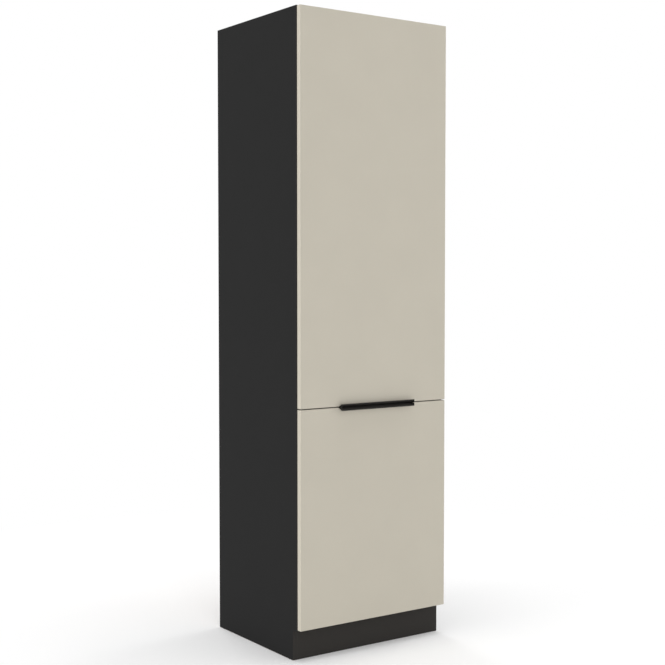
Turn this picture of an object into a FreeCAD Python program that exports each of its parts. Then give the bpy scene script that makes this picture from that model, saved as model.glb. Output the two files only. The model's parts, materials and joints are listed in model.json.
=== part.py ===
"""Tall pantry cabinet with a short lower door and a tall upper door.

Millimetres. X runs to the right as seen from the front, the front faces -Y and +Z is up.
The origin is the centre of the whole box, pulls included, on the floor.
Both doors hang on the right side panel, each on one vertical axis.
"""
import FreeCAD, Part
import math
import os

Vector = FreeCAD.Vector

# ---------------------------------------------------------------- driving sizes
# Whole cabinet
width = 600.0
height = 2100.0
depth = 520.0                  # door faces to rear edges, without the pulls

# Boards and sheets
board = 16.0
door_board = 18.0
back_sheet = 3.0
board_edge_radius = 0.6        # rounding of the edges that show
door_edge_radius = 1.5

# Base
plinth_height = 100.0
plinth_setback = 22.0          # behind the front edges of the side panels
glide_height = 1.5
glide_rim = 1.0                # side panel left around a glide
glide_inset = 25.0             # from the ends of a side panel's lower edge
glide_pin_radius = 1.2
glide_pin_length = 12.0

# Doors
side_reveal = 1.5              # side panel left uncovered at each side
top_reveal = 2.0
bottom_reveal = 5.0
door_gap = 3.0                 # between the lower and the upper door
lower_door_height = 713.0
rear_clearance = 0.5           # between screw heads on a door and the carcass
swing_clearance = 0.5          # between a turning door corner and the carcass

# Pulls along the meeting edges of the doors
pull_length = 300.0
pull_reach = 19.0              # in front of the door face
pull_rise = 11.0               # from the middle of the door gap to the top of a lip
pull_tip_radius = 1.0
pull_bow = 0.9                 # of a lip's face, out of the straight line
pull_cheek = 1.5               # thickness of the cheeks that close the ends
pull_cheek_radius = 2.0
pull_flange = 15.0             # from the middle of the gap, behind the door
pull_spacing = 1.0             # between the two pulls
pull_screws = 3
pull_screw_pitch = 120.0
pull_screw_height = 9.0        # from the middle of the gap

# Sheet metal and small screws
sheet_metal = 1.2
head_height = 0.8
head_radius = 3.2
screw_radius = 1.6
screw_length = 11.0            # below the head's sheet

# Cup hinges
cup_radius = 17.5
cup_depth = 12.5
cup_wall = 0.8
cup_screw_half = 24.0          # cup centre to cup screw, along the door
cup_screw_offset = 6.0         # cup centre to the line of the cup screws
cup_ear_radius = 7.5
pivot_depth = 8.5              # from the door's back face
pin_radius = 1.5
eye_radius = 2.6
eye_half = 4.0
cheek = 1.8
arm_sheet = 1.6
arm_length = 62.0
arm_height = 8.6               # underside of the arm above the side panel
arm_half = 8.0
arm_lift = 3.0                 # arm flange above the side panel
bend_radius = 2.4
plate_sheet = 2.0
plate_half = 22.0
plate_width = 24.0
plate_screw_half = 16.0
plate_corner = 4.0
block_length = 44.0
block_end = 4.0                # from the rear end of the arm
arm_screw_inset = 8.0          # from the ends of the block
hinge_inset = 100.0            # from the ends of a door
lower_hinges = 2
upper_hinges = 3

# Rows of shelf holes
system_inset = 37.0            # from the front and rear edges of a side panel
system_pitch = 32.0
system_radius = 2.5
system_depth = 11.0

# Shelves
lower_shelves = 1
upper_shelves = 4
shelf_side_gap = 1.0
shelf_setback = 20.0
shelf_rear_gap = 5.0
peg_radius = 4.0
peg_length = 9.0
peg_flat = 3.0                 # peg axis to the underside of the shelf
peg_insertion = 9.0

# Back
rebate = 8.0                   # width of the rebate in a side panel
sheet_gap = 0.5                # around the edges of a back sheet
nail_radius = 0.8
nail_length = 20.0
nail_head_radius = 1.9
nail_head = 0.6
nail_edge = 4.0                # from a sheet's edge
nail_spacing = 150.0

# Knock-down fittings
cam_radius = 7.5
cam_height = 12.5
cam_distance = 24.0            # from the end of a board
cam_inset = 64.0               # from the front and rear edges of a board
bolt_radius = 3.0
bolt_head_radius = 3.5
bolt_head = 4.0
bolt_bore = 4.0
dowel_radius = 4.0
dowel_length = 30.0
dowel_in_side = 10.0
dowel_inset = 32.0
driver_slot = 1.4

# Wall brackets
bracket_leg = 40.0
bracket_width = 40.0
bracket_sheet = 2.0
bracket_inset = 84.0           # bracket centre from a side panel's inner face
wall_hole_radius = 3.0
wall_hole_drop = 22.0          # below the underside of the top panel
bracket_screw_near = 14.0
bracket_screw_pitch = 16.0
bracket_head = 1.8

# Door bumpers
bumper_radius = 4.0
bumper_inset = 30.0
bumper_play = 0.3

# Fits
running = 0.05                 # radial clearance of a pin in a turning eye
fit = 0.05                     # radial clearance of a fixed round piece
slack = 0.2                    # between a hinge arm and what it passes
tiny = 0.01                    # points this near count as the same

# ---------------------------------------------------------------- derived places
half_width = width / 2
inner_half = half_width - board
door_clearance = sheet_metal + head_height + rear_clearance

front_y = -(depth + pull_reach) / 2
door_face_y = front_y + pull_reach
door_back_y = door_face_y + door_board
carcass_front_y = door_back_y + door_clearance
rear_y = door_face_y + depth
sheet_y = rear_y - back_sheet

bottom_z = plinth_height
floor_z = bottom_z + board
lower_door_z = bottom_z + bottom_reveal
lower_door_top = lower_door_z + lower_door_height
gap_z = lower_door_top + door_gap / 2
upper_door_z = lower_door_top + door_gap
upper_door_top = height - top_reveal
middle_z = gap_z - board / 2
ceiling_z = height - board

door_half = half_width - side_reveal
door_overlap = board - side_reveal

# The pivot stands where the rounded rear corner of the door, at its nearest,
# passes the carcass with swing_clearance to spare.
pivot_out = door_clearance + pivot_depth
corner_reach = pivot_out - swing_clearance - door_edge_radius
corner_depth = pivot_depth - door_edge_radius
pivot_from_edge = door_edge_radius + math.sqrt(corner_reach ** 2 - corner_depth ** 2)
pivot_in = pivot_from_edge - door_overlap

# The cup's wall passes the eye with slack to spare.
cup_inner = cup_radius - fit - cup_wall
eye_bulge = cup_inner - math.sqrt(cup_inner ** 2 - eye_half ** 2)
cup_in = pivot_in - eye_radius - slack - eye_bulge + cup_inner


# ---------------------------------------------------------------- helpers
def box(x0, x1, y0, y1, z0, z1):
    """Block between two corners."""
    return Part.makeBox(x1 - x0, y1 - y0, z1 - z0, Vector(x0, y0, z0))


def rod(radius, start, end):
    """Cylinder from one point to another."""
    line = end - start
    return Part.makeCylinder(radius, line.Length, start, line)


def union(shapes):
    """One solid from touching or overlapping shapes."""
    return shapes[0].fuse(shapes[1:]).removeSplitter()


def prism(points, direction):
    """Flat polygon pushed along a direction."""
    outline = Part.makePolygon(points + [points[0]])
    return Part.Face(outline).extrude(direction)


def edges_where(shape, test):
    """Edges whose ends all pass a test."""
    return [edge for edge in shape.Edges if all(test(end.Point) for end in edge.Vertexes)]


def spaced(start, end, count):
    """Evenly spaced values, both ends included."""
    step = (end - start) / (count - 1)
    return [start + step * index for index in range(count)]


def hinge_point(inward, outward, z):
    """Point near the hinge side: inward of the right side panel's inner face,
    outward in front of the carcass."""
    return Vector(inner_half - inward, carcass_front_y - outward, z)


def hinge_box(in0, in1, out0, out1, z0, z1):
    """Block given in the distances that hinge_point uses."""
    return box(inner_half - in1, inner_half - in0,
               carcass_front_y - out1, carcass_front_y - out0, z0, z1)


nodes = {}                     # name of a piece: its shape
bores = {}                     # name of a board: what is drilled out of it


def bore(name, shape):
    """Remember a hole for a board."""
    bores.setdefault(name, []).append(shape)


def screw(start, direction, length, head=head_height, radius=screw_radius):
    """Pan-head screw. start is where the head seats, direction points into the work."""
    shank = Part.makeCylinder(radius, length, start, direction)
    cap = Part.makeCylinder(head_radius, head, start, direction * -1)
    recess = Part.makeCylinder(head_radius / 3, head / 2, start - direction * head, direction)
    return union([shank, cap]).cut(recess)


# ---------------------------------------------------------------- boards
def side_panel(name, side):
    """Full-height side with a toe notch, a rebate for the back and rounded edges."""
    outer = side * half_width
    inner = side * inner_half
    low_x, high_x = sorted((outer, inner))
    panel = box(low_x, high_x, carcass_front_y, rear_y, glide_height, height)
    rounded = edges_where(panel, lambda point: abs(point.x - outer) < tiny)
    rounded += edges_where(panel, lambda point: abs(point.x - inner) < tiny
                           and abs(point.y - carcass_front_y) < tiny)
    panel = panel.makeFillet(board_edge_radius, rounded)
    notch = box(low_x - board, high_x + board, carcass_front_y - board,
                carcass_front_y + plinth_setback, 0, plinth_height)
    rebate_low, rebate_high = sorted((inner - side * board, inner + side * rebate))
    rebate_cut = box(rebate_low, rebate_high, sheet_y, rear_y + board, 0, height + board)
    nodes[name] = panel.cut([notch, rebate_cut])


def front_rounded(half, y0, y1, z0, z1):
    """Board whose front edges are rounded."""
    plain = box(-half, half, y0, y1, z0, z1)
    front = [edge for edge in edges_where(plain, lambda point: abs(point.y - y0) < tiny)
             if edge.Length > half]
    return plain.makeFillet(board_edge_radius, front)


def cross_board(name, y0, y1, z0, z1):
    """Board between the two side panels."""
    nodes[name] = front_rounded(inner_half, y0, y1, z0, z1)


def make_boards():
    """Carcass boards, before drilling."""
    side_panel("side_panel_left", -1)
    side_panel("side_panel_right", 1)
    cross_board("bottom_panel", carcass_front_y, sheet_y, bottom_z, floor_z)
    cross_board("middle_shelf", carcass_front_y, sheet_y, middle_z, middle_z + board)
    cross_board("top_panel", carcass_front_y, sheet_y, ceiling_z, height)
    plinth_y = carcass_front_y + plinth_setback
    cross_board("plinth_board", plinth_y, plinth_y + board, glide_height, plinth_height)


# ---------------------------------------------------------------- knock-down fittings
def side_name(side):
    """Name of the side panel on one side."""
    return "side_panel_right" if side > 0 else "side_panel_left"


def cam_joint(board_name, side, y, z, face):
    """Cam lock and bolt at one end of a board. face points out of the board
    at the cam, and the bolt's axis passes through y and z."""
    end = Vector(side * inner_half, y, z)
    inward = Vector(-side, 0, 0)
    centre = end + inward * cam_distance
    mouth = centre + face * (board / 2)
    cam = rod(cam_radius - fit, mouth, mouth - face * cam_height)
    pocket = bolt_head_radius + slack
    slot = rod(pocket, centre + inward * pocket, end)
    blade = rod(cam_radius / 2, mouth, mouth - face * driver_slot)
    blade_keep = box(centre.x - cam_radius, centre.x + cam_radius,
                     centre.y - driver_slot / 2, centre.y + driver_slot / 2,
                     centre.z - board, centre.z + board)
    if abs(face.y) > 0.5:
        blade_keep = box(centre.x - cam_radius, centre.x + cam_radius,
                         centre.y - board, centre.y + board,
                         centre.z - driver_slot / 2, centre.z + driver_slot / 2)
    cam = cam.cut([slot, blade.common(blade_keep)])
    thread_end = end - inward * (system_depth - slack)
    bolt = union([rod(system_radius - fit, thread_end, end),
                  rod(bolt_radius, end, centre),
                  rod(bolt_head_radius, centre - inward * (bolt_head / 2),
                      centre + inward * (bolt_head / 2))])
    bore(board_name, rod(cam_radius, mouth, mouth - face * (cam_height + slack)))
    bore(board_name, rod(bolt_bore, end, centre + inward * bolt_bore))
    bore(side_name(side), rod(system_radius, end, end - inward * system_depth))
    return cam, bolt


def dowel_joint(board_name, side, y, z):
    """Wooden dowel between a side panel and the end of a board."""
    end = Vector(side * inner_half, y, z)
    inward = Vector(-side, 0, 0)
    outer_end = end - inward * dowel_in_side
    dowel = rod(dowel_radius - fit, outer_end, outer_end + inward * dowel_length)
    bore(side_name(side), rod(dowel_radius, end, outer_end - inward * slack))
    bore(board_name, rod(dowel_radius, end, outer_end + inward * (dowel_length + slack)))
    return dowel


def make_fittings():
    """Cam locks, cam bolts and dowels of the carcass."""
    cams = []
    bolts = []
    dowels = []
    faces = {"bottom_panel": Vector(0, 0, -1),
             "middle_shelf": Vector(0, 0, -1),
             "top_panel": Vector(0, 0, 1)}
    centres = {"bottom_panel": bottom_z + board / 2,
               "middle_shelf": middle_z + board / 2,
               "top_panel": ceiling_z + board / 2}
    plinth_centre_y = carcass_front_y + plinth_setback + board / 2
    plinth_span = plinth_height - glide_height
    for side in (-1, 1):
        for name, face in faces.items():
            z = centres[name]
            for y in (carcass_front_y + cam_inset, sheet_y - cam_inset):
                cam, bolt = cam_joint(name, side, y, z, face)
                cams.append(cam)
                bolts.append(bolt)
            for y in (carcass_front_y + dowel_inset, sheet_y - dowel_inset):
                dowels.append(dowel_joint(name, side, y, z))
        cam, bolt = cam_joint("plinth_board", side, plinth_centre_y,
                              glide_height + plinth_span / 3, Vector(0, 1, 0))
        cams.append(cam)
        bolts.append(bolt)
        dowels.append(dowel_joint("plinth_board", side, plinth_centre_y,
                                  glide_height + plinth_span * 2 / 3))
    nodes["cam_locks"] = Part.makeCompound(cams)
    nodes["cam_bolts"] = Part.makeCompound(bolts)
    nodes["wooden_dowels"] = Part.makeCompound(dowels)


# ---------------------------------------------------------------- shelves and pins
def shelf(name, z):
    """Loose shelf on four pins."""
    half = inner_half - shelf_side_gap
    nodes["shelf_" + name] = front_rounded(half, carcass_front_y + shelf_setback,
                                           sheet_y - shelf_rear_gap, z, z + board)
    pins = []
    peg_z = z - peg_flat
    for side in (-1, 1):
        for y in (carcass_front_y + system_inset, rear_y - system_inset):
            wall = Vector(side * inner_half, y, peg_z)
            inward = Vector(-side, 0, 0)
            peg = rod(peg_radius, wall, wall + inward * peg_length)
            above = box(wall.x - board, wall.x + board, y - board, y + board, z, z + board)
            stem = rod(system_radius - fit, wall - inward * peg_insertion, wall)
            pins.append(union([peg.cut(above), stem]))
            for step in (-1, 0, 1):
                hole = wall + Vector(0, 0, step * system_pitch)
                bore(side_name(side), rod(system_radius, hole, hole - inward * system_depth))
    nodes["shelf_pins_" + name] = Part.makeCompound(pins)


def make_shelves():
    """Shelves at equal clear heights in both compartments."""
    lower_clear = (middle_z - floor_z - lower_shelves * board) / (lower_shelves + 1)
    for index in range(lower_shelves):
        z = floor_z + lower_clear * (index + 1) + board * index
        shelf("lower_%d" % (index + 1), z)
    above_middle = middle_z + board
    upper_clear = (ceiling_z - above_middle - upper_shelves * board) / (upper_shelves + 1)
    for index in range(upper_shelves):
        z = above_middle + upper_clear * (index + 1) + board * index
        shelf("upper_%d" % (index + 1), z)


# ---------------------------------------------------------------- back
def nail(x, z, sheet_name, board_names):
    """Flush nail through a back sheet into the board behind it."""
    outer = Vector(x, rear_y, z)
    inward = Vector(0, -1, 0)
    shank = rod(nail_radius, outer, outer + inward * nail_length)
    head = rod(nail_head_radius, outer, outer + inward * nail_head)
    whole = union([shank, head])
    bore(sheet_name, whole)
    for name in board_names:
        bore(name, shank)
    return whole


def back(name, z0, z1, row_boards):
    """Back sheet in the side rebates with a nail row near every edge."""
    half = inner_half + rebate - sheet_gap
    nodes[name] = box(-half, half, sheet_y, rear_y, z0, z1)
    nails = []
    row_zs = (z0 + nail_edge, z1 - nail_edge)
    column_x = inner_half + rebate / 2
    row_half = inner_half - nail_spacing / 3
    row_count = max(2, round(2 * row_half / nail_spacing) + 1)
    for row_z, board_name in zip(row_zs, row_boards):
        for x in spaced(-row_half, row_half, row_count):
            nails.append(nail(x, row_z, name, [board_name]))
    column_low = z0 + nail_spacing / 3
    column_high = z1 - nail_spacing / 3
    column_count = max(2, round((column_high - column_low) / nail_spacing) + 1)
    for side in (-1, 1):
        for z in spaced(column_low, column_high, column_count):
            nails.append(nail(side * column_x, z, name, [side_name(side)]))
    return nails


def make_back():
    """Two back sheets that meet behind the middle shelf."""
    nails = back("back_sheet_lower", bottom_z + sheet_gap, gap_z - sheet_gap,
                 ("bottom_panel", "middle_shelf"))
    nails += back("back_sheet_upper", gap_z + sheet_gap, height - sheet_gap,
                  ("middle_shelf", "top_panel"))
    nodes["back_nails"] = Part.makeCompound(nails)


# ---------------------------------------------------------------- glides and wall brackets
def make_glides():
    """Nail-on glides under the side panels."""
    glides = []
    radius = board / 2 - glide_rim
    for side in (-1, 1):
        x = side * (half_width - board / 2)
        for y in (carcass_front_y + plinth_setback + glide_inset, rear_y - glide_inset):
            floor = Vector(x, y, 0)
            seat = Vector(x, y, glide_height)
            pin_top = seat + Vector(0, 0, glide_pin_length)
            glides.append(union([rod(radius, floor, seat),
                                 rod(glide_pin_radius, seat, pin_top)]))
            bore(side_name(side), rod(glide_pin_radius + fit, seat,
                                      pin_top + Vector(0, 0, slack)))
    nodes["floor_glides"] = Part.makeCompound(glides)


def make_brackets():
    """Angle brackets under the top panel, with a hole through the back for a wall screw."""
    screws = []
    up = Vector(0, 0, 1)
    for side, name in ((-1, "wall_bracket_left"), (1, "wall_bracket_right")):
        x = side * (inner_half - bracket_inset)
        x0 = x - bracket_width / 2
        x1 = x + bracket_width / 2
        lying = box(x0, x1, sheet_y - bracket_leg, sheet_y, ceiling_z - bracket_sheet, ceiling_z)
        standing = box(x0, x1, sheet_y - bracket_sheet, sheet_y, ceiling_z - bracket_leg, ceiling_z)
        hole_z = ceiling_z - wall_hole_drop
        wall_hole = rod(wall_hole_radius, Vector(x, sheet_y - bracket_leg, hole_z),
                        Vector(x, rear_y + board, hole_z))
        bore("back_sheet_upper", wall_hole)
        screw_holes = []
        for index in range(2):
            y = sheet_y - bracket_screw_near - bracket_screw_pitch * index
            seat = Vector(x, y, ceiling_z - bracket_sheet)
            screws.append(screw(seat, up, screw_length + bracket_sheet, bracket_head))
            hole = rod(screw_radius + fit, seat, seat + up * (screw_length + bracket_sheet + slack))
            screw_holes.append(hole)
            bore("top_panel", hole)
        nodes[name] = union([lying, standing]).cut([wall_hole] + screw_holes)
    nodes["wall_bracket_screws"] = Part.makeCompound(screws)


# ---------------------------------------------------------------- hinges
def hinge_neck(z):
    """Goose neck from the eye at the pivot, round one bend, to the arm."""
    low = pivot_out - arm_sheet / 2
    high = pivot_out + arm_sheet / 2
    near = arm_height
    far = arm_height + arm_sheet
    centre_in = arm_height + arm_sheet / 2 - bend_radius
    centre_out = pivot_out - bend_radius
    inner_radius = bend_radius - arm_sheet / 2
    outer_radius = bend_radius + arm_sheet / 2
    diagonal = math.sqrt(0.5)
    z0 = z - eye_half

    def bend(radius, start, end):
        middle = hinge_point(centre_in + radius * diagonal, centre_out + radius * diagonal, z0)
        return Part.Arc(start, middle, end)

    def line(start, end):
        return Part.LineSegment(start, end)

    eye_low = hinge_point(pivot_in, low, z0)
    eye_high = hinge_point(pivot_in, high, z0)
    inner_start = hinge_point(centre_in, low, z0)
    inner_end = hinge_point(near, centre_out, z0)
    near_foot = hinge_point(near, 0, z0)
    far_foot = hinge_point(far, 0, z0)
    outer_start = hinge_point(far, centre_out, z0)
    outer_end = hinge_point(centre_in, high, z0)
    path = [line(eye_low, inner_start),
            bend(inner_radius, inner_start, inner_end),
            line(inner_end, near_foot),
            line(near_foot, far_foot),
            line(far_foot, outer_start),
            bend(outer_radius, outer_start, outer_end),
            line(outer_end, eye_high),
            line(eye_high, eye_low)]
    outline = Part.Wire([piece.toShape() for piece in path])
    return Part.Face(outline).extrude(Vector(0, 0, 2 * eye_half))


def hinge_arm(name, z):
    """Channel arm over its mounting plate, with the neck and eye in front."""
    neck = hinge_neck(z)
    eye = rod(eye_radius, hinge_point(pivot_in, pivot_out, z - eye_half),
              hinge_point(pivot_in, pivot_out, z + eye_half))
    profile = ((arm_lift, -eye_half), (arm_lift, eye_half), (-arm_half, arm_half),
               (-arm_length, arm_half), (-arm_length, -arm_half), (-arm_half, -arm_half))
    web = prism([hinge_point(arm_height, outward, z + across) for outward, across in profile],
                Vector(-arm_sheet, 0, 0))
    lips = [hinge_box(arm_lift, arm_height + arm_sheet, -arm_length, -arm_half,
                      z + low, z + low + sheet_metal)
            for low in (-arm_half, arm_half - sheet_metal)]
    eye_bore = rod(pin_radius + running, hinge_point(pivot_in, pivot_out, z - arm_half),
                   hinge_point(pivot_in, pivot_out, z + arm_half))
    nodes[name] = union([neck, eye, web] + lips).cut(eye_bore)


def hinge_plate(name, z):
    """Cross-shaped mounting plate with the raised block that carries the arm."""
    plate_out = -system_inset
    block_half = arm_half - sheet_metal - slack
    block_rear = -arm_length + block_end
    block_front = block_rear + block_length
    wings = hinge_box(0, plate_sheet, plate_out - plate_width / 2, plate_out + plate_width / 2,
                      z - plate_half, z + plate_half)
    corners = [edge for edge in wings.Edges if abs(edge.Length - plate_sheet) < tiny]
    wings = wings.makeFillet(plate_corner, corners)
    block = hinge_box(0, arm_height, block_rear, block_front, z - block_half, z + block_half)
    plate = union([wings, block])
    inward = Vector(-1, 0, 0)
    plate_screws = []
    for across in (-plate_screw_half, plate_screw_half):
        seat = hinge_point(plate_sheet, plate_out, z + across)
        plate_screws.append(screw(seat, inward * -1, plate_sheet + system_depth - slack,
                                  radius=system_radius - fit))
        hole = rod(system_radius, seat, seat - inward * (plate_sheet + system_depth))
        plate = plate.cut(hole)
        bore("side_panel_right", hole)
        far_wall = Vector(-inner_half, seat.y, seat.z)
        bore("side_panel_left", rod(system_radius, far_wall, far_wall + inward * system_depth))
    arm_screws = []
    for outward in (block_rear + arm_screw_inset, block_front - arm_screw_inset):
        seat = hinge_point(arm_height + arm_sheet, outward, z)
        depth_in = arm_height + arm_sheet - plate_sheet
        arm_screws.append(screw(seat, inward * -1, depth_in))
        hole = rod(screw_radius + fit, seat, seat - inward * depth_in)
        plate = plate.cut(hole)
        arm = name.replace("plate", "arm")
        nodes[arm] = nodes[arm].cut(hole)
    nodes[name] = plate
    return plate_screws, arm_screws


def hinge_cup(name, door_name, z):
    """Cup sunk in the back of a door, with two cheeks for the pin and two screw ears."""
    mouth_out = door_clearance - sheet_metal
    floor_out = door_clearance + cup_depth
    body = rod(cup_radius - fit, hinge_point(cup_in, mouth_out, z),
               hinge_point(cup_in, floor_out, z))
    hollow = rod(cup_inner, hinge_point(cup_in, mouth_out, z),
                 hinge_point(cup_in, floor_out - cup_wall, z))
    ear_in = cup_in + cup_screw_offset
    ears = [hinge_box(ear_in - cup_ear_radius, ear_in + cup_ear_radius, mouth_out,
                      door_clearance, z - cup_screw_half, z + cup_screw_half)]
    for across in (-cup_screw_half, cup_screw_half):
        ears.append(rod(cup_ear_radius, hinge_point(ear_in, mouth_out, z + across),
                        hinge_point(ear_in, door_clearance, z + across)))
    shell = union([body] + ears).cut(hollow)
    cheek_low = eye_half + slack
    cheeks = []
    for low in (-cheek_low - cheek, cheek_low):
        post = hinge_box(pivot_in - eye_radius, pivot_in + eye_radius, pivot_out - eye_radius,
                         floor_out, z + low, z + low + cheek)
        cheeks.append(post.common(body))
    pin = rod(pin_radius, hinge_point(pivot_in, pivot_out, z - cheek_low - cheek),
              hinge_point(pivot_in, pivot_out, z + cheek_low + cheek))
    cup = union([shell] + cheeks).cut(pin)
    forward = Vector(0, -1, 0)
    screws = []
    for across in (-cup_screw_half, cup_screw_half):
        seat = hinge_point(ear_in, mouth_out, z + across)
        screws.append(screw(seat, forward, sheet_metal + screw_length))
        hole = rod(screw_radius + fit, seat, seat + forward * (sheet_metal + screw_length + slack))
        cup = cup.cut(hole)
        bore(door_name, hole)
    bore(door_name, rod(cup_radius, hinge_point(cup_in, door_clearance, z),
                        hinge_point(cup_in, floor_out, z)))
    nodes[name] = cup
    return pin, screws


def make_hinges():
    """Hinges of both doors, at the same distance from each door's ends."""
    plate_screws = []
    arm_screws = []
    doors = (("lower", lower_door_z, lower_door_top, lower_hinges),
             ("upper", upper_door_z, upper_door_top, upper_hinges))
    for door, z0, z1, count in doors:
        pins = []
        cup_screws = []
        for index, z in enumerate(spaced(z0 + hinge_inset, z1 - hinge_inset, count)):
            tag = "%s_%d" % (door, index + 1)
            hinge_arm("hinge_arm_" + tag, z)
            on_plate, on_arm = hinge_plate("hinge_plate_" + tag, z)
            plate_screws += on_plate
            arm_screws += on_arm
            pin, on_cup = hinge_cup("hinge_cup_" + tag, "door_" + door, z)
            pins.append(pin)
            cup_screws += on_cup
        nodes["hinge_pins_" + door] = Part.makeCompound(pins)
        nodes["hinge_cup_screws_" + door] = Part.makeCompound(cup_screws)
    nodes["hinge_plate_screws"] = Part.makeCompound(plate_screws)
    nodes["hinge_arm_screws"] = Part.makeCompound(arm_screws)


# ---------------------------------------------------------------- doors, pulls, bumpers
def pull(name, door_name, upward):
    """Bent pull over the meeting edge of a door. upward is 1 on the upper door
    and -1 on the lower one. Its flange lies on the door's back, its lip curves
    out and away from the gap to a rounded tip, and a cheek closes each end."""
    x0 = -pull_length / 2

    def place(forward, rise):
        return Vector(x0, door_face_y - forward, gap_z + upward * rise)

    tip_forward = pull_reach - pull_tip_radius
    tip_rise = pull_rise - pull_tip_radius
    under = pull_spacing / 2
    over = door_gap / 2
    run = math.hypot(tip_forward, tip_rise - under)
    lean = math.atan2(tip_rise - under, tip_forward) + 2 * math.atan(2 * pull_bow / run)
    lean_forward = math.sin(lean) * pull_tip_radius
    lean_rise = math.cos(lean) * pull_tip_radius

    def bowed(start, end):
        """Arc between two points of the section, bowed towards the gap."""
        forward = end[0] - start[0]
        rise = end[1] - start[1]
        chord = math.hypot(forward, rise)
        middle = place((start[0] + end[0]) / 2 + rise / chord * pull_bow,
                       (start[1] + end[1]) / 2 - forward / chord * pull_bow)
        return Part.Arc(place(*start), middle, place(*end)).toShape()

    front_tip = (tip_forward + lean_forward, tip_rise - lean_rise)
    back_tip = (tip_forward - lean_forward, tip_rise + lean_rise)
    crown = place(tip_forward + lean_rise, tip_rise + lean_forward)
    section = Part.Wire([
        bowed((0, under), front_tip),
        Part.Arc(place(*front_tip), crown, place(*back_tip)).toShape(),
        bowed((0, over), back_tip),
        Part.makeLine(place(0, over), place(0, under))])
    along = Vector(pull_length, 0, 0)
    lip = Part.Face(section).extrude(along)
    web = prism([place(0, under), place(0, over), place(-door_board, over),
                 place(-door_board, under)], along)
    flange = prism([place(-door_board, under), place(-door_board, pull_flange),
                    place(-door_board - sheet_metal, pull_flange),
                    place(-door_board - sheet_metal, under)], along)
    cheek = prism([place(0, under), place(front_tip[0], under), place(*front_tip)],
                  Vector(pull_cheek, 0, 0))
    corner = place(front_tip[0], under)
    cheek = cheek.makeFillet(pull_cheek_radius, edges_where(
        cheek, lambda point: math.hypot(point.y - corner.y, point.z - corner.z) < tiny))
    far_cheek = cheek.translated(Vector(pull_length - pull_cheek, 0, 0))
    body = union([web, flange, lip, cheek, far_cheek])
    forward = Vector(0, -1, 0)
    screws = []
    half = pull_screw_pitch * (pull_screws - 1) / 2
    for x in spaced(-half, half, pull_screws):
        seat = Vector(x, door_back_y + sheet_metal, gap_z + upward * pull_screw_height)
        screws.append(screw(seat, forward, sheet_metal + screw_length))
        hole = rod(screw_radius + fit, seat, seat + forward * (sheet_metal + screw_length + slack))
        body = body.cut(hole)
        bore(door_name, hole)
    nodes[name] = body
    nodes[name + "_screws"] = Part.makeCompound(screws)


def door(name, z0, z1):
    """Flat door with rounded edges."""
    panel = box(-door_half, door_half, door_face_y, door_back_y, z0, z1)
    nodes[name] = panel.makeFillet(door_edge_radius, panel.Edges)


def bumpers(name, z0, z1):
    """Soft discs on a door's back, in front of the left side panel's edge."""
    x = -(half_width - board / 2)
    discs = []
    for z in (z0 + bumper_inset, z1 - bumper_inset):
        seat = Vector(x, door_back_y, z)
        discs.append(rod(bumper_radius, seat, seat + Vector(0, door_clearance - bumper_play, 0)))
    nodes[name] = Part.makeCompound(discs)


def make_doors():
    """Both doors with their pulls and bumpers."""
    door("door_lower", lower_door_z, lower_door_top)
    door("door_upper", upper_door_z, upper_door_top)
    pull("pull_lower", "door_lower", -1)
    pull("pull_upper", "door_upper", 1)
    bumpers("bumpers_lower", lower_door_z, lower_door_top)
    bumpers("bumpers_upper", upper_door_z, upper_door_top)


# ---------------------------------------------------------------- assembly
make_boards()
make_fittings()
make_shelves()
make_back()
make_glides()
make_brackets()
make_doors()
make_hinges()

for board_name, holes in bores.items():
    nodes[board_name] = nodes[board_name].cut(holes)

os.makedirs("parts", exist_ok=True)
for node_name, shape in nodes.items():
    shape.exportStep("parts/" + node_name + ".step")

print("pieces", len(nodes))
print("hinge axis", inner_half - pivot_in, carcass_front_y - pivot_out)
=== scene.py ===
"""Looks of the pantry cabinet: materials, detailed fasteners, floor, light and camera.

Metres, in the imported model's own frame: +X right, front towards -Y, +Z up.
"""
import json
import math

import bmesh
import bpy
from mathutils import Matrix, Vector

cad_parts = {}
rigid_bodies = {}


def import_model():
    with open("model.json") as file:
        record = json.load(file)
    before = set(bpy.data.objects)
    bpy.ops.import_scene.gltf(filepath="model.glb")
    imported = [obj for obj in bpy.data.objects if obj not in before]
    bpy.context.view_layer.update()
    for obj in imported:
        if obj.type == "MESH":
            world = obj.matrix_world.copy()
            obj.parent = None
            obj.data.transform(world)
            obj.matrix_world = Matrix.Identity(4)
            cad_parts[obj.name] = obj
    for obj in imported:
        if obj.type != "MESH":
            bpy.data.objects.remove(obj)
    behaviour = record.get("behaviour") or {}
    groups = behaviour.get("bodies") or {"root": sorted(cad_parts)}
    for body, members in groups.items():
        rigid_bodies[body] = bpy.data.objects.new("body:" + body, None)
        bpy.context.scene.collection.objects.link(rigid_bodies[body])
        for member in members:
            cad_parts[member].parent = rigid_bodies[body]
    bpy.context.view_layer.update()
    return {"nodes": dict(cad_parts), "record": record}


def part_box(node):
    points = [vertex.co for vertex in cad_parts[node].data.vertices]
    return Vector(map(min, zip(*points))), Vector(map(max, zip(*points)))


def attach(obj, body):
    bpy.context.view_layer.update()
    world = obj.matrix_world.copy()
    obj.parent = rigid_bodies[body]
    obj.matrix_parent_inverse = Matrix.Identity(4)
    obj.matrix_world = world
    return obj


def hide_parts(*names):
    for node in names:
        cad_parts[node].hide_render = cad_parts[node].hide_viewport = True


# Objects of Blender's own start scene
for stray in list(bpy.data.objects):
    bpy.data.objects.remove(stray)

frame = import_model()
nodes = frame["nodes"]

MM = 0.001

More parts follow.
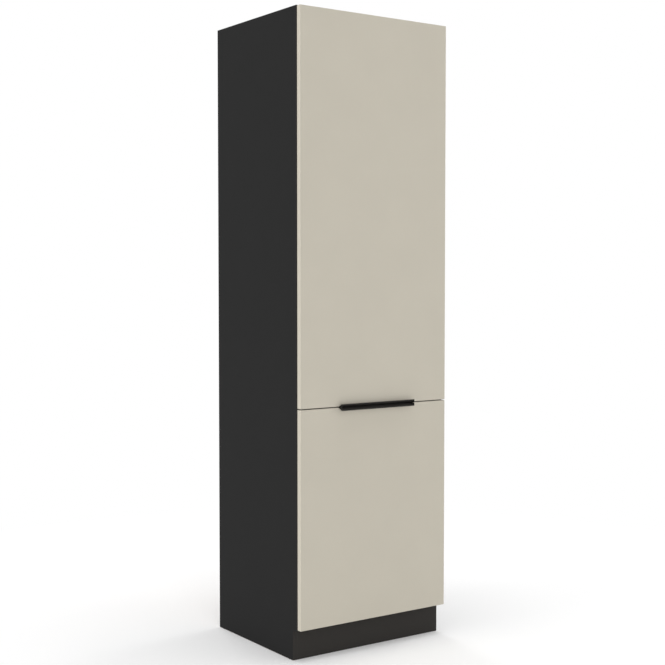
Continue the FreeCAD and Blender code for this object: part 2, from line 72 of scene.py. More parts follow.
# Places that several materials and pieces share, all read from the frame
left_low, left_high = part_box("side_panel_left")
BOARD = left_high.x - left_low.x
CARCASS_FRONT = left_low.y
TOP = left_high.z
RIGHT_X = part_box("side_panel_right")[1].x
PLINTH_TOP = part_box("bottom_panel")[0].z
PLINTH_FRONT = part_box("plinth_board")[0].y
DOOR_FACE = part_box("door_upper")[0].y
MIDDLE = Vector((0, 0, TOP / 2))

# Noise textures stay mostly between these two values
NOISE_LOW, NOISE_HIGH = 0.3, 0.7

# Faces that meet at more than this are drawn with a sharp edge
SHARP_ANGLE = math.radians(35)

# The record's slot of the screws
ZINC_SLOT = "zinc_plated_steel"


# ---------------------------------------------------------------- shader helpers
# Sockets of the Mix node that hold colours, which share their names with others
COLOUR_A, COLOUR_B, MIXED_COLOUR = 6, 7, 2


class Shader:
    """One material's node tree, with short calls for the nodes used here."""

    def __init__(self, name):
        self.material = bpy.data.materials.new(name)
        self.material.use_nodes = True
        self.tree = self.material.node_tree
        self.principled = self.tree.nodes["Principled BSDF"]
        self.place = self.node("ShaderNodeTexCoord").outputs["Object"]

    def node(self, kind, **settings):
        made = self.tree.nodes.new(kind)
        for key, value in settings.items():
            setattr(made, key, value)
        return made

    def feed(self, socket, value):
        """Links an output to a socket, or sets a plain value."""
        if isinstance(value, bpy.types.NodeSocket):
            self.tree.links.new(value, socket)
        else:
            socket.default_value = value

    def surface(self, **values):
        """Sets or links sockets of the Principled shader, such as base_color."""
        for key, value in values.items():
            self.feed(self.principled.inputs[key.replace("_", " ").title()], value)

    def stretched(self, x, y, z):
        """Object coordinates multiplied axis by axis."""
        mapping = self.node("ShaderNodeMapping", vector_type="POINT")
        self.feed(mapping.inputs["Vector"], self.place)
        mapping.inputs["Scale"].default_value = (x, y, z)
        return mapping.outputs["Vector"]

    def noise(self, scale, detail=2.0, roughness=0.5, vector=None, distortion=0.0):
        made = self.node("ShaderNodeTexNoise")
        self.feed(made.inputs["Vector"], vector or self.place)
        made.inputs["Scale"].default_value = scale
        made.inputs["Detail"].default_value = detail
        made.inputs["Roughness"].default_value = roughness
        made.inputs["Distortion"].default_value = distortion
        return made.outputs["Fac"]

    def cells(self, scale, vector=None, output="Distance"):
        made = self.node("ShaderNodeTexVoronoi")
        self.feed(made.inputs["Vector"], vector or self.place)
        made.inputs["Scale"].default_value = scale
        return made.outputs[output]

    def maths(self, operation, first, second=0.0):
        made = self.node("ShaderNodeMath", operation=operation)
        self.feed(made.inputs[0], first)
        self.feed(made.inputs[1], second)
        return made.outputs[0]

    def sum(self, first, *others):
        """Values added together."""
        total = first
        for other in others:
            total = self.maths("ADD", total, other)
        return total

    def product(self, first, *others):
        """Values multiplied together."""
        total = first
        for other in others:
            total = self.maths("MULTIPLY", total, other)
        return total

    def span(self, value, low, high, to_low=0.0, to_high=1.0):
        """Value mapped from one range to another, clamped."""
        made = self.node("ShaderNodeMapRange")
        self.feed(made.inputs["Value"], value)
        made.inputs["From Min"].default_value = low
        made.inputs["From Max"].default_value = high
        made.inputs["To Min"].default_value = to_low
        made.inputs["To Max"].default_value = to_high
        return made.outputs["Result"]

    def spread(self, noise, low, high):
        """Noise stretched between two values."""
        return self.span(noise, NOISE_LOW, NOISE_HIGH, low, high)

    def ramp(self, value, stops):
        """Colours along a value: stops are (position, (r, g, b))."""
        made = self.node("ShaderNodeValToRGB")
        self.feed(made.inputs["Fac"], value)
        elements = made.color_ramp.elements
        while len(elements) < len(stops):
            elements.new(0.5)
        for element, (position, colour) in zip(elements, stops):
            element.position = position
            element.color = (*colour, 1)
        return made.outputs["Color"]

    def mix(self, factor, first, second):
        """Colour mix. Plain colours are (r, g, b)."""
        made = self.node("ShaderNodeMix", data_type="RGBA")
        self.feed(made.inputs["Factor"], factor)
        for index, colour in ((COLOUR_A, first), (COLOUR_B, second)):
            self.feed(made.inputs[index], self.with_alpha(colour))
        return made.outputs[MIXED_COLOUR]

    def vary(self, colour, value, amount):
        """Colour made up to amount lighter or darker by a noise."""
        made = self.node("ShaderNodeHueSaturation")
        self.feed(made.inputs["Value"], self.spread(value, 1 - amount, 1 + amount))
        self.feed(made.inputs["Color"], self.with_alpha(colour))
        return made.outputs["Color"]

    @staticmethod
    def with_alpha(colour):
        """A plain (r, g, b) colour as a socket takes it. A socket stays as it is."""
        return colour if isinstance(colour, bpy.types.NodeSocket) else (*colour, 1)

    def bump(self, height, depth):
        """Bump of a height field that is depth metres high."""
        made = self.node("ShaderNodeBump")
        self.feed(made.inputs["Height"], height)
        made.inputs["Distance"].default_value = depth
        made.inputs["Strength"].default_value = 1.0
        return made.outputs["Normal"]

    def along(self, axis):
        """One object coordinate."""
        split = self.node("ShaderNodeSeparateXYZ")
        self.feed(split.inputs[0], self.place)
        return split.outputs[axis]

    def facing(self, axis):
        """One component of the surface normal, in the piece's own axes."""
        split = self.node("ShaderNodeSeparateXYZ")
        self.feed(split.inputs[0], self.node("ShaderNodeTexCoord").outputs["Normal"])
        return split.outputs[axis]

    def inside(self, value, low, high):
        """1 where a value lies between two limits."""
        return self.product(self.maths("GREATER_THAN", value, low),
                            self.maths("LESS_THAN", value, high))


def srgb(red, green, blue):
    """Linear colour of an 8-bit display colour."""

    def linear(value):
        value /= 255
        return value / 12.92 if value <= 0.04045 else ((value + 0.055) / 1.055) ** 2.4

    return tuple(linear(value) for value in (red, green, blue))


# ---------------------------------------------------------------- materials
CHARCOAL = srgb(45, 45, 45)
# Painted light: a lighter, warmer charcoal on faces towards the front, standing in for warm bounce
# light from the floor
FRONT_BOUNCE_LIGHT_TONE = srgb(56, 54, 52)
# Painted highlight: a lighter charcoal along board edges, standing in for light caught by rounded
# edges
EDGE_HIGHLIGHT_TONE = srgb(96, 94, 90)
GREIGE = srgb(194, 188, 174)
# Painted highlight: lighter greige for the upright door edges, where light from the side falls
GREIGE_SIDE_HIGHLIGHT = srgb(219, 212, 196)
# Painted shade: darker greige for the level door edges, standing in for the shade in the gap
# between the doors
GREIGE_GAP_SHADE = srgb(177, 171, 158)
PULL_BLACK = srgb(45, 43, 40)
# Painted shade: near-black for the pull's end faces, where the end of the pull lies in shade
PULL_END_SHADE = srgb(18, 17, 15)
CHIP_DARK = (0.17, 0.10, 0.055)
CHIP_MIDDLE = (0.36, 0.24, 0.13)
CHIP_LIGHT = (0.50, 0.36, 0.21)
FIBRE_DARK = (0.115, 0.062, 0.032)
FIBRE_MIDDLE = (0.20, 0.115, 0.062)
FIBRE_LIGHT = (0.32, 0.20, 0.115)
FIBRE_FLECK = (0.08, 0.043, 0.024)
BEECH_DARK = (0.40, 0.25, 0.13)
BEECH_MIDDLE = (0.56, 0.38, 0.22)
BEECH_LIGHT = (0.66, 0.48, 0.30)
BEECH_FLECK = (0.25, 0.14, 0.07)
NICKEL = (0.66, 0.64, 0.61)
ZINC_PLATE = (0.58, 0.60, 0.63)
ZINC_CAST = (0.27, 0.275, 0.285)
NAIL_STEEL = (0.40, 0.40, 0.41)
PLASTIC_BLACK = srgb(30, 30, 31)
BUMPER_TONE = (0.80, 0.80, 0.78)

# Laminate on a board, which is also the room that masks leave at banded edges
SKIN = 0.4 * MM
# Width of the painted highlight line along a board's edges
EDGE_HIGHLIGHT_WIDTH = 0.5 * MM
# Specular level of the laminate outside and inside the carcass
OUTER_SPECULAR, INNER_SPECULAR = 0.03, 0.22

# Starts of the names of the charcoal boards
CARCASS_BOARDS = ("side_panel", "top_panel", "bottom_panel", "middle_shelf", "shelf_upper",
                  "shelf_lower", "plinth_board")

# Depth of each surface's relief
LAMINATE_RELIEF = 0.04 * MM
DOOR_RELIEF = 0.02 * MM
CHIP_RELIEF = 0.3 * MM
FIBRE_RELIEF = 0.12 * MM
COATING_RELIEF = 0.008 * MM
PLATING_RELIEF = 0.006 * MM
CASTING_RELIEF = 0.03 * MM
WOOD_RELIEF = 0.05 * MM
PLASTIC_RELIEF = 0.03 * MM
BUMPER_RELIEF = 0.01 * MM
# Height of the laminate's relief as a share of the chips'
LAMINATE_SHARE = 0.13
CHIP_ROUGHNESS = 0.9


def chipboard(shader):
    """Colour and height of a sawn particle-board edge."""
    chips = shader.cells(520, vector=shader.stretched(1, 1, 1.8), output="Color")
    tone = shader.node("ShaderNodeSeparateColor")
    shader.feed(tone.inputs[0], chips)
    grain = shader.noise(900, detail=3, roughness=0.6)
    blend = shader.sum(shader.product(tone.outputs["Red"], 0.7), shader.product(grain, 0.3))
    colour = shader.ramp(blend, [(0.15, CHIP_DARK), (0.4, CHIP_MIDDLE), (0.75, CHIP_LIGHT)])
    return colour, blend


def laminate_surface(shader, colour, contrast):
    """Colour, grain and height of a fine-grained matt laminate."""
    cloud = shader.noise(7, detail=3, roughness=0.5)
    pearl = shader.noise(1500, detail=2, roughness=0.55)
    pores = shader.cells(1100)
    tinted = shader.vary(colour, cloud, 0.012)
    tinted = shader.vary(tinted, pearl, contrast)
    height = shader.sum(pearl, shader.product(pores, 0.6))
    return tinted, pearl, height


def edge_highlight_mask(shader, low, high):
    """Painted highlight along the outer edges of a board, where a rounded edge would catch light:
    uneven, and fading over the width set above.
    """
    gaps = []
    for index, axis in enumerate("XYZ"):
        off = shader.maths("SUBTRACT", shader.along(axis), (low[index] + high[index]) / 2)
        gaps.append(shader.maths("SUBTRACT", (high[index] - low[index]) / 2,
                                 shader.maths("ABSOLUTE", off)))
    largest = shader.maths("MAXIMUM", shader.maths("MAXIMUM", gaps[0], gaps[1]), gaps[2])
    off_edge = shader.maths("SUBTRACT", shader.sum(*gaps), largest)
    near = shader.span(off_edge, 0, EDGE_HIGHLIGHT_WIDTH, 1, 0)
    uneven = shader.span(shader.noise(55, detail=4, roughness=0.6), 0.35, 0.65, 0.25, 0.75)
    return shader.product(near, uneven)


def carcass_material(name, board, core=None, specular=OUTER_SPECULAR):
    """Charcoal laminate of a board. Faces towards the front get a lighter, warmer charcoal,
    painted bounce light from the floor, and a thin painted highlight runs along the board's edges.
    core(shader) gives a 1 where bare particle board shows."""
    shader = Shader(name)
    tinted, pearl, height = laminate_surface(shader, CHARCOAL, 0.11)
    # Painted light: faces towards the front get the lighter, warmer charcoal of floor bounce light
    front = shader.maths("LESS_THAN", shader.facing("Y"), -0.5)
    tinted = shader.mix(front, tinted, shader.vary(FRONT_BOUNCE_LIGHT_TONE, pearl, 0.07))
    # Painted highlight: a lighter line along the board's edges
    tinted = shader.mix(edge_highlight_mask(shader, *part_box(board)), tinted, EDGE_HIGHLIGHT_TONE)
    roughness = shader.spread(pearl, 0.55, 0.72)
    if core is None:
        shader.surface(base_color=tinted, roughness=roughness,
                       normal=shader.bump(height, LAMINATE_RELIEF))
    else:
        mask = core(shader)
        chips, relief = chipboard(shader)
        both = shader.sum(shader.product(height, LAMINATE_SHARE), shader.product(relief, mask))
        rough_core = shader.maths("MAXIMUM", roughness, shader.product(mask, CHIP_ROUGHNESS))
        shader.surface(base_color=shader.mix(mask, tinted, chips), roughness=rough_core,
                       normal=shader.bump(both, CHIP_RELIEF))
    shader.principled.inputs["Specular IOR Level"].default_value = specular
    return shader.material


def side_core(shader):
    """Bare parts of a side panel: holes, rebate, rear and lower edges."""
    x = shader.maths("ABSOLUTE", shader.along("X"))
    y = shader.along("Y")
    z = shader.along("Z")
    thick = shader.inside(x, RIGHT_X - BOARD + SKIN, RIGHT_X - SKIN)
    behind_front = shader.maths("GREATER_THAN", y, CARCASS_FRONT + 2 * SKIN)
    under_top = shader.maths("LESS_THAN", z, TOP - 2 * SKIN)
    toe_front = shader.inside(y, PLINTH_FRONT - SKIN, PLINTH_FRONT + SKIN)
    toe_roof = shader.product(shader.inside(z, PLINTH_TOP - SKIN, PLINTH_TOP + SKIN),
                              shader.maths("LESS_THAN", y, PLINTH_FRONT))
    banded_toe = shader.maths("MAXIMUM", toe_front, toe_roof)
    return shader.product(thick, behind_front, under_top,
                          shader.maths("SUBTRACT", 1.0, banded_toe))


def cross_core(node):
    """Bare parts of a lying board: bores and every edge but the front one."""
    low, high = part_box(node)

    def core(shader):
        thick = shader.inside(shader.along("Z"), low.z + SKIN, high.z - SKIN)
        behind = shader.maths("GREATER_THAN", shader.along("Y"), low.y + 2 * SKIN)
        return shader.product(thick, behind)

    return core


def door_material():
    """Greige laminate. The upright edges are painted lighter, a painted highlight of light from
    the side, and the level edges painted darker, painted shade in the gap between the doors."""
    shader = Shader("door_laminate")
    tinted, pearl, height = laminate_surface(shader, GREIGE, 0.03)
    # Painted light on the door edges: lighter upright edges as a painted highlight, darker level
    # edges as painted shade
    for axis, painted_edge_tone in (("X", GREIGE_SIDE_HIGHLIGHT), ("Z", GREIGE_GAP_SHADE)):
        on_edge = shader.span(shader.maths("ABSOLUTE", shader.facing(axis)), 0.35, 0.75)
        tinted = shader.mix(on_edge, tinted, shader.vary(painted_edge_tone, pearl, 0.02))
    shader.surface(base_color=tinted,
                   roughness=shader.spread(pearl, 0.42, 0.55),
                   normal=shader.bump(height, DOOR_RELIEF))
    shader.principled.inputs["Specular IOR Level"].default_value = 0.2
    return shader.material


def hardboard_material():
    """Raw brown fibre board behind, charcoal paint towards the inside."""
    shader = Shader("hardboard")
    fibres = shader.noise(620, detail=6, roughness=0.7,
                         vector=shader.stretched(1, 1, 0.8), distortion=1.6)
    flecks = shader.cells(330, vector=shader.stretched(1, 1, 0.7))
    cloud = shader.noise(9, detail=4, roughness=0.6)
    brown = shader.ramp(fibres, [(0.25, FIBRE_DARK), (0.5, FIBRE_MIDDLE), (0.8, FIBRE_LIGHT)])
    brown = shader.vary(brown, cloud, 0.09)
    dark_fleck = shader.span(flecks, 0.04, 0.16, 1.0, 0.0)
    brown = shader.mix(shader.product(dark_fleck, 0.5), brown, FIBRE_FLECK)
    inner = shader.maths("LESS_THAN", shader.facing("Y"), -0.5)
    paint = shader.vary(CHARCOAL, fibres, 0.06)
    shader.surface(base_color=shader.mix(inner, brown, paint),
                   roughness=shader.spread(fibres, 0.62, 0.78),
                   normal=shader.bump(fibres, FIBRE_RELIEF))
    return shader.material


def black_metal_material():
    """Satin black coated aluminium with a fine lengthwise grain, and painted shade on its ends."""
    shader = Shader("black_metal")
    grain = shader.noise(1, detail=3, roughness=0.6, vector=shader.stretched(25, 5200, 5200))
    dust = shader.noise(900, detail=2, roughness=0.5)
    # Painted shade: faces towards the ends are darkened
    ends = shader.span(shader.maths("ABSOLUTE", shader.facing("X")), 0.6, 0.9)
    shader.surface(base_color=shader.mix(ends, shader.vary(PULL_BLACK, grain, 0.10), PULL_END_SHADE),
                   roughness=shader.sum(shader.spread(grain, 0.48, 0.58),
                                        shader.product(dust, 0.06)),
                   normal=shader.bump(grain, COATING_RELIEF))
    shader.principled.inputs["Specular IOR Level"].default_value = 0.3
    return shader.material


def metal_material(name, colour, rough_low, rough_high, scale=1500, relief=PLATING_RELIEF):
    """Plated or cast metal with a fine grain and a little cloudiness."""
    shader = Shader(name)
    grain = shader.noise(1, detail=3, roughness=0.6,
                         vector=shader.stretched(scale, scale, scale))
    cloud = shader.noise(160, detail=3, roughness=0.6)
    mottle = shader.sum(shader.product(grain, 0.6), shader.product(cloud, 0.4))
    shader.surface(base_color=shader.vary(shader.vary(colour, cloud, 0.04), grain, 0.03),
                   roughness=shader.span(mottle, 0.35, 0.65, rough_low, rough_high),
                   normal=shader.bump(grain, relief))
    shader.principled.inputs["Metallic"].default_value = 0.8
    return shader.material


def beech_material():
    """Turned beech with fine dark flecks."""
    shader = Shader("beech")
    grain = shader.noise(1, detail=4, roughness=0.6,
                         vector=shader.stretched(60, 900, 900), distortion=0.4)
    flecks = shader.cells(1, vector=shader.stretched(180, 1500, 1500))
    wood = shader.ramp(grain, [(0.3, BEECH_DARK), (0.55, BEECH_MIDDLE), (0.8, BEECH_LIGHT)])
    wood = shader.mix(shader.span(flecks, 0.0, 0.12, 0.5, 0.0), wood, BEECH_FLECK)
    shader.surface(base_color=wood, roughness=shader.spread(grain, 0.5, 0.65),
                   normal=shader.bump(grain, WOOD_RELIEF))
    return shader.material


def black_plastic_material():
    """Moulded matt polyethylene."""
    shader = Shader("black_plastic")
    spark = shader.noise(1800, detail=3, roughness=0.6)
    shader.surface(base_color=shader.vary(PLASTIC_BLACK, spark, 0.08),
                   roughness=shader.spread(spark, 0.45, 0.6),
                   normal=shader.bump(spark, PLASTIC_RELIEF))
    return shader.material


def bumper_material():
    """Clear soft plastic, a little clouded."""
    shader = Shader("clear_bumper")
    cloud = shader.noise(700, detail=2, roughness=0.5)
    shader.surface(base_color=shader.vary(BUMPER_TONE, cloud, 0.03),
                   roughness=shader.spread(cloud, 0.12, 0.25),
                   normal=shader.bump(cloud, BUMPER_RELIEF))
    shader.principled.inputs["Transmission Weight"].default_value = 0.55
    shader.principled.inputs["IOR"].default_value = 1.48
    return shader.material


def board_material(name):
    """Carcass material of a board, by its node's name."""
    if name.startswith("side_panel"):
        return carcass_material("carcass_" + name, name, side_core)
    if name == "plinth_board":
        return carcass_material("carcass_plinth", name)
    specular = OUTER_SPECULAR if name == "top_panel" else INNER_SPECULAR
    return carcass_material("carcass_" + name, name, cross_core(name), specular)


def paint_nodes():
    """Gives every CAD node its material, and returns the materials by slot."""
    slots = {
        "door_laminate": door_material(),
        "hardboard": hardboard_material(),
        "black_metal": black_metal_material(),
        "nickel_steel": metal_material("nickel_steel", NICKEL, 0.34, 0.44),
        ZINC_SLOT: metal_material(ZINC_SLOT, ZINC_PLATE, 0.36, 0.48),
        "zinc_casting": metal_material("zinc_casting", ZINC_CAST, 0.42, 0.60, 1400,
                                       CASTING_RELIEF),
        "nail_steel": metal_material("nail_steel", NAIL_STEEL, 0.30, 0.45, 1200),
        "beech": beech_material(),
        "black_plastic": black_plastic_material(),
        "clear_bumper": bumper_material(),
    }
    record_slots = {row["node"]: row["material_slot"] for row in frame["record"]["subparts"]}
    for name, node in nodes.items():
        board = name.startswith(CARCASS_BOARDS)
        chosen = board_material(name) if board else slots[record_slots[name]]
        node.data.materials.clear()
        node.data.materials.append(chosen)
    return slots


# ---------------------------------------------------------------- screws
HEAD_SEGMENTS = 40
DOME_STEPS = 7
# Radius of the flat middle of a head and height of its rim, as shares of the head's own
FLAT_SHARE, RIM_SHARE = 0.55, 0.45
# Where the head starts to draw in below, as a share of its height, and by how much
UNDERCUT_AT, UNDERCUT = 0.88, 0.08 * MM
# Length of a screw's point, and the radius of its end as a share of the shank's
TIP_LENGTH, TIP_SHARE = 2 * MM, 0.25
# The cross recess: half its length and its width, as shares of the head's radius
RECESS_REACH, RECESS_WIDTH = 0.52, 0.27
# The recess's floor, as shares of its length and width at the top
FLOOR_REACH_SHARE, FLOOR_WIDTH_SHARE = 0.42, 0.768
# How far the recess goes below the head, and its cutter stands above
RECESS_BELOW, CUTTER_ABOVE = 0.5 * MM, 0.5 * MM
# Turn of each recess against the one before, in radians
RECESS_TURN = 0.7
# Slivers that the recess's cut leaves are finer than this
SLIVER = 0.004 * MM
# Points of the CAD's meshes that are closer than this are one
WELD = 0.001 * MM
# Width of the broken edges on shelf pins and nail heads
PIN_BEVEL, NAIL_BEVEL = 0.25 * MM, 0.15 * MM

SCREWS = (
    # CAD node, way into the work, height of the head, shank's share of the head's radius
    ("pull_lower_screws", (0, -1, 0), 0.8 * MM, 0.5),
    ("hinge_cup_screws_lower", (0, -1, 0), 0.8 * MM, 0.5),
    ("pull_upper_screws", (0, -1, 0), 0.8 * MM, 0.5),
    ("hinge_cup_screws_upper", (0, -1, 0), 0.8 * MM, 0.5),
    ("hinge_plate_screws", (1, 0, 0), 0.8 * MM, 0.76),
    ("hinge_arm_screws", (1, 0, 0), 0.8 * MM, 0.5),
    ("wall_bracket_screws", (0, 0, 1), 1.8 * MM, 0.5),
)


def islands(node):
    """Box of each separate solid in a CAD node, as (lowest, highest) corners."""
    mesh = bmesh.new()
    mesh.from_mesh(node.data)
    bmesh.ops.remove_doubles(mesh, verts=mesh.verts, dist=WELD)
    found = []
    unseen = set(mesh.verts)
    while unseen:
        stack = [unseen.pop()]
        points = []
        while stack:
            vertex = stack.pop()
            points.append(vertex.co.copy())
            for edge in vertex.link_edges:
                other = edge.other_vert(vertex)
                if other in unseen:
                    unseen.remove(other)
                    stack.append(other)
        low = Vector(min(point[i] for point in points) for i in range(3))
        high = Vector(max(point[i] for point in points) for i in range(3))
        found.append((low, high))
    mesh.free()
    return sorted(found, key=lambda pair: tuple(round(value, 5) for value in pair[0]))


def lathe(profile):
    """Mesh turned about Z from (radius, height) points, closed on the axis."""
    mesh = bmesh.new()
    turns = [2 * math.pi * index / HEAD_SEGMENTS for index in range(HEAD_SEGMENTS)]
    rings = []
    for radius, height in profile:
        ring = turns if radius else turns[:1]
        rings.append([mesh.verts.new((radius * math.cos(turn), radius * math.sin(turn), height))
                      for turn in ring])
    for lower, upper in zip(rings, rings[1:]):
        for index in range(HEAD_SEGMENTS):
            after = (index + 1) % HEAD_SEGMENTS
            corners = [lower[index % len(lower)], lower[after % len(lower)],
                       upper[after % len(upper)], upper[index % len(upper)]]
            unique = list(dict.fromkeys(corners))
            if len(unique) > 2:
                mesh.faces.new(unique)
    bmesh.ops.recalc_face_normals(mesh, faces=mesh.faces)
    return mesh


def as_object(name, mesh):
    """Scene object from a bmesh, which is freed."""
    data = bpy.data.meshes.new(name)
    mesh.to_mesh(data)
    mesh.free()
    made = bpy.data.objects.new(name, data)
    bpy.context.scene.collection.objects.link(made)
    return made


def apply_modifiers(made):
    """Turns an object's modifiers into its mesh."""
    graph = bpy.context.evaluated_depsgraph_get()
    plain = made.data
    made.data = bpy.data.meshes.new_from_object(made.evaluated_get(graph))
    made.modifiers.clear()
    bpy.data.meshes.remove(plain)


def cross_cutter(reach, width, depth):
    """Tapered cross that cuts a driver recess down from z 0."""
    mesh = bmesh.new()
    levels = ((CUTTER_ABOVE, reach, width / 2),
              (-depth, reach * FLOOR_REACH_SHARE, width / 2 * FLOOR_WIDTH_SHARE))
    for turn in (0, math.pi / 2):
        corners = []
        for height, half_length, half_width in levels:
            ring = []
            for x, y in ((-1, -1), (1, -1), (1, 1), (-1, 1)):
                point = Vector((x * half_length, y * half_width, height))
                ring.append(mesh.verts.new(Matrix.Rotation(turn, 3, "Z") @ point))
            corners.append(ring)
        upper, lower = corners
        mesh.faces.new(upper)
        mesh.faces.new(list(reversed(lower)))
        for index in range(4):
            after = (index + 1) % 4
            mesh.faces.new([upper[index], lower[index], lower[after], upper[after]])
    bmesh.ops.recalc_face_normals(mesh, faces=mesh.faces)
    return as_object("cutter", mesh)


def screw_mesh(head_radius, head_height, shank_radius, length):
    """Pan-head screw with a cross recess. The head's top is at z 0, the tip below."""
    dome = []
    rim = head_height * RIM_SHARE
    for index in range(DOME_STEPS + 1):
        angle = math.pi / 2 * index / DOME_STEPS
        dome.append((head_radius * (FLAT_SHARE + (1 - FLAT_SHARE) * math.sin(angle)),
                     -(head_height - rim) * (1 - math.cos(angle))))
    under_head = [(head_radius, -head_height * UNDERCUT_AT),
                  (head_radius - UNDERCUT, -head_height), (shank_radius, -head_height)]
    tip = [(shank_radius, -length + TIP_LENGTH), (shank_radius * TIP_SHARE, -length), (0, -length)]
    body = as_object("screw", lathe([(0, 0)] + dome + under_head + tip))
    cutter = cross_cutter(head_radius * RECESS_REACH, head_radius * RECESS_WIDTH,
                          head_height + RECESS_BELOW)
    cut = body.modifiers.new("recess", "BOOLEAN")
    cut.object = cutter
    cut.operation = "DIFFERENCE"
    cut.solver = "EXACT"
    cut.use_self = True
    apply_modifiers(body)
    bpy.data.meshes.remove(cutter.data)
    made = body.data
    clean = bmesh.new()
    clean.from_mesh(made)
    bmesh.ops.remove_doubles(clean, verts=clean.verts, dist=SLIVER)
    bmesh.ops.dissolve_degenerate(clean, edges=clean.edges, dist=SLIVER)
    clean.to_mesh(made)
    clean.free()
    bpy.data.objects.remove(body)
    return made


def body_name(node_name):
    """Body that a CAD node rides on."""
    for body, members in frame["record"]["behaviour"]["bodies"].items():
        if node_name in members:
            return body
    raise ValueError("no body holds " + node_name)


def screws(node_name, into, head_height, shank_share, material):
    """Detailed screws in place of a CAD node of screws. into points into the work."""
    node = nodes[node_name]
    into = Vector(into)
    axis = max(range(3), key=lambda index: abs(into[index]))
    across = 0 if axis else 1
    joined = bmesh.new()
    patterns = {}
    for count, (low, high) in enumerate(islands(node), 1):
        size = high - low
        head_radius = size[across] / 2
        centre = (low + high) / 2
        centre[axis] = low[axis] if into[axis] > 0 else high[axis]
        key = round(head_radius / MM, 2), round(size[axis] / MM, 1)
        if key not in patterns:
            patterns[key] = screw_mesh(head_radius, head_height, head_radius * shank_share,
                                       size[axis])
        single = patterns[key].copy()
        turned = (-into).to_track_quat("Z", "Y").to_matrix().to_4x4()
        spin = Matrix.Rotation(RECESS_TURN * count, 4, "Z")
        single.transform(Matrix.Translation(centre) @ turned @ spin)
        joined.from_mesh(single)
        bpy.data.meshes.remove(single)
    for pattern in patterns.values():
        bpy.data.meshes.remove(pattern)
    made = as_object(node_name + "_detailed", joined)
    made.data.materials.append(material)
    made.data.shade_smooth()
    made.data.set_sharp_from_angle(angle=SHARP_ANGLE)
    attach(made, body_name(node_name))
    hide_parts(node_name)


def make_screws(material):
    """All the screws that can be seen with the doors open."""
    for node_name, into, head_height, shank_share in SCREWS:
        screws(node_name, into, head_height, shank_share, material)


def round_edges():
    """Broken edges on the nail heads and shelf pins, which the CAD leaves sharp."""
    for name, node in nodes.items():
        if name.startswith(("shelf_pins", "back_nails")):
            weld = node.modifiers.new("weld", "WELD")
            weld.merge_threshold = WELD
            bevel = node.modifiers.new("edges", "BEVEL")
            bevel.width = NAIL_BEVEL if name == "back_nails" else PIN_BEVEL
            bevel.segments = 2
            bevel.limit_method = "ANGLE"
            bevel.angle_limit = SHARP_ANGLE
            shading = node.modifiers.new("shading", "WEIGHTED_NORMAL")
            shading.keep_sharp = True


# ---------------------------------------------------------------- floor, light, camera
FLOOR_REACH = 30.0
FLOOR_TONE = (0.80, 0.80, 0.80)
# Light that the floor shows to white_rays only, so that it is white around the shadow
FLOOR_GLOW = 0.2
# The floor turns plain white between these distances from the object's middle
WHITE_FROM, WHITE_AT = 0.8, 2.4
# Strength of the surroundings where they light the object
WORLD_LIGHT = 0.45

LAMP_SIZE = 4.0
LAMPS = (
    # name, place, power
    ("key", (-3.6, -8.8, 1.4), 290),
    ("fill", (7.4, -5.4, 3.0), 100),
    ("side", (-8.4, 0.6, 3.2), 138),
    ("right", (8.8, 1.2, 3.4), 200),
    ("rear", (1.6, 8.8, 3.2), 260),
    ("overhead", (0.0, -0.6, 8.4), 220),
)

# The photograph's view, as solved from its perspective
CAMERA_PLACE = (-2.4662, DOOR_FACE - 3.2938, 1.2359)
CAMERA_TURN = math.radians(34.835)
CAMERA_TILT = math.radians(-2.463)
CAMERA_LENS = 67.28


def white_rays(tree):
    """1 for rays that see the backdrop itself: camera, glossy and transmission rays."""
    path = tree.nodes.new("ShaderNodeLightPath")
    seen = path.outputs["Is Camera Ray"]
    for ray in ("Is Glossy Ray", "Is Transmission Ray"):
        either = tree.nodes.new("ShaderNodeMath")
        either.operation = "MAXIMUM"
        tree.links.new(seen, either.inputs[0])
        tree.links.new(path.outputs[ray], either.inputs[1])
        seen = either.outputs[0]
    return seen


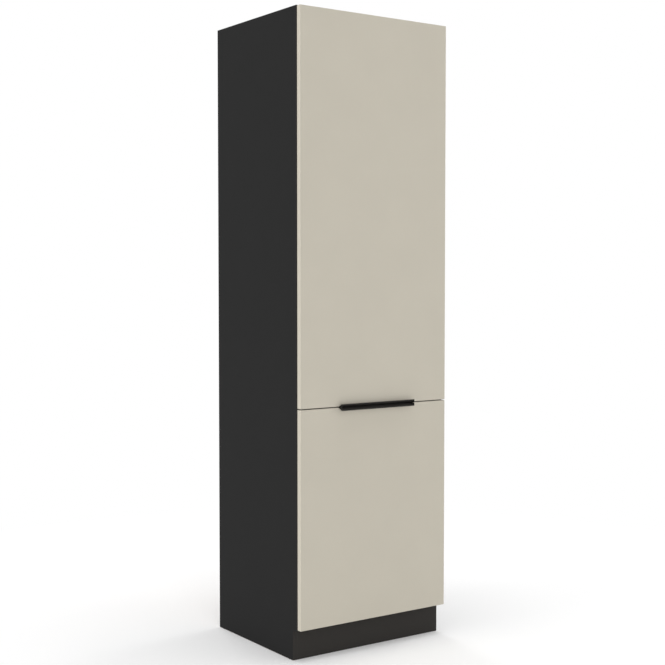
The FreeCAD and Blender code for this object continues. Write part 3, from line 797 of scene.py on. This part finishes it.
def make_floor():
    """Pale floor that keeps the object's shadow and reads as white elsewhere."""
    mesh = bmesh.new()
    bmesh.ops.create_grid(mesh, x_segments=1, y_segments=1, size=FLOOR_REACH)
    floor = as_object("studio_floor", mesh)
    shader = Shader("studio_floor")
    speckle = shader.noise(40, detail=3)
    shader.surface(base_color=shader.vary(FLOOR_TONE, speckle, 0.004), roughness=0.9)
    shader.principled.inputs["Specular IOR Level"].default_value = 0.1
    seen = white_rays(shader.tree)
    away = shader.node("ShaderNodeVectorMath", operation="LENGTH")
    shader.feed(away.inputs[0], shader.place)
    near_glow = shader.node("ShaderNodeEmission")
    shader.feed(near_glow.inputs["Strength"], shader.product(seen, FLOOR_GLOW))
    near = shader.node("ShaderNodeAddShader")
    shader.feed(near.inputs[0], shader.principled.outputs[0])
    shader.feed(near.inputs[1], near_glow.outputs[0])
    far = shader.node("ShaderNodeEmission")
    both = shader.node("ShaderNodeMixShader")
    distant = shader.span(away.outputs["Value"], WHITE_FROM, WHITE_AT)
    shader.feed(both.inputs[0], shader.product(distant, seen))
    shader.feed(both.inputs[1], near.outputs[0])
    shader.feed(both.inputs[2], far.outputs[0])
    output = shader.tree.nodes["Material Output"]
    shader.feed(output.inputs["Surface"], both.outputs[0])
    floor.data.materials.append(shader.material)


def make_world():
    """White surroundings, dimmer where they light the object."""
    world = bpy.data.worlds.new("studio")
    bpy.context.scene.world = world
    world.use_nodes = True
    tree = world.node_tree
    background = tree.nodes["Background"]
    background.inputs["Color"].default_value = (1, 1, 1, 1)
    strength = tree.nodes.new("ShaderNodeMapRange")
    tree.links.new(white_rays(tree), strength.inputs["Value"])
    strength.inputs["To Min"].default_value = WORLD_LIGHT
    strength.inputs["To Max"].default_value = 1.0
    tree.links.new(strength.outputs["Result"], background.inputs["Strength"])


def make_lamps():
    """Large soft lamps around the object, aimed at its middle."""
    for name, place, power in LAMPS:
        lamp = bpy.data.lights.new(name, "AREA")
        lamp.shape = "DISK"
        lamp.size = LAMP_SIZE
        lamp.energy = power
        made = bpy.data.objects.new(name, lamp)
        made.location = place
        made.rotation_euler = (MIDDLE - Vector(place)).to_track_quat("-Z", "Y").to_euler()
        bpy.context.scene.collection.objects.link(made)


def make_camera():
    """Camera at the photograph's angle: low on the left of the front."""
    data = bpy.data.cameras.new("camera")
    data.sensor_width = 36
    data.lens = CAMERA_LENS
    data.clip_start = 0.01
    data.clip_end = 100
    camera = bpy.data.objects.new("camera", data)
    camera.location = CAMERA_PLACE
    camera.rotation_euler = (math.pi / 2 + CAMERA_TILT, 0, -CAMERA_TURN)
    bpy.context.scene.collection.objects.link(camera)
    bpy.context.scene.camera = camera


# ---------------------------------------------------------------- make it all
bpy.context.scene.view_settings.view_transform = "Standard"
make_camera()
materials = paint_nodes()
make_screws(materials[ZINC_SLOT])
round_edges()
make_floor()
make_world()
make_lamps()
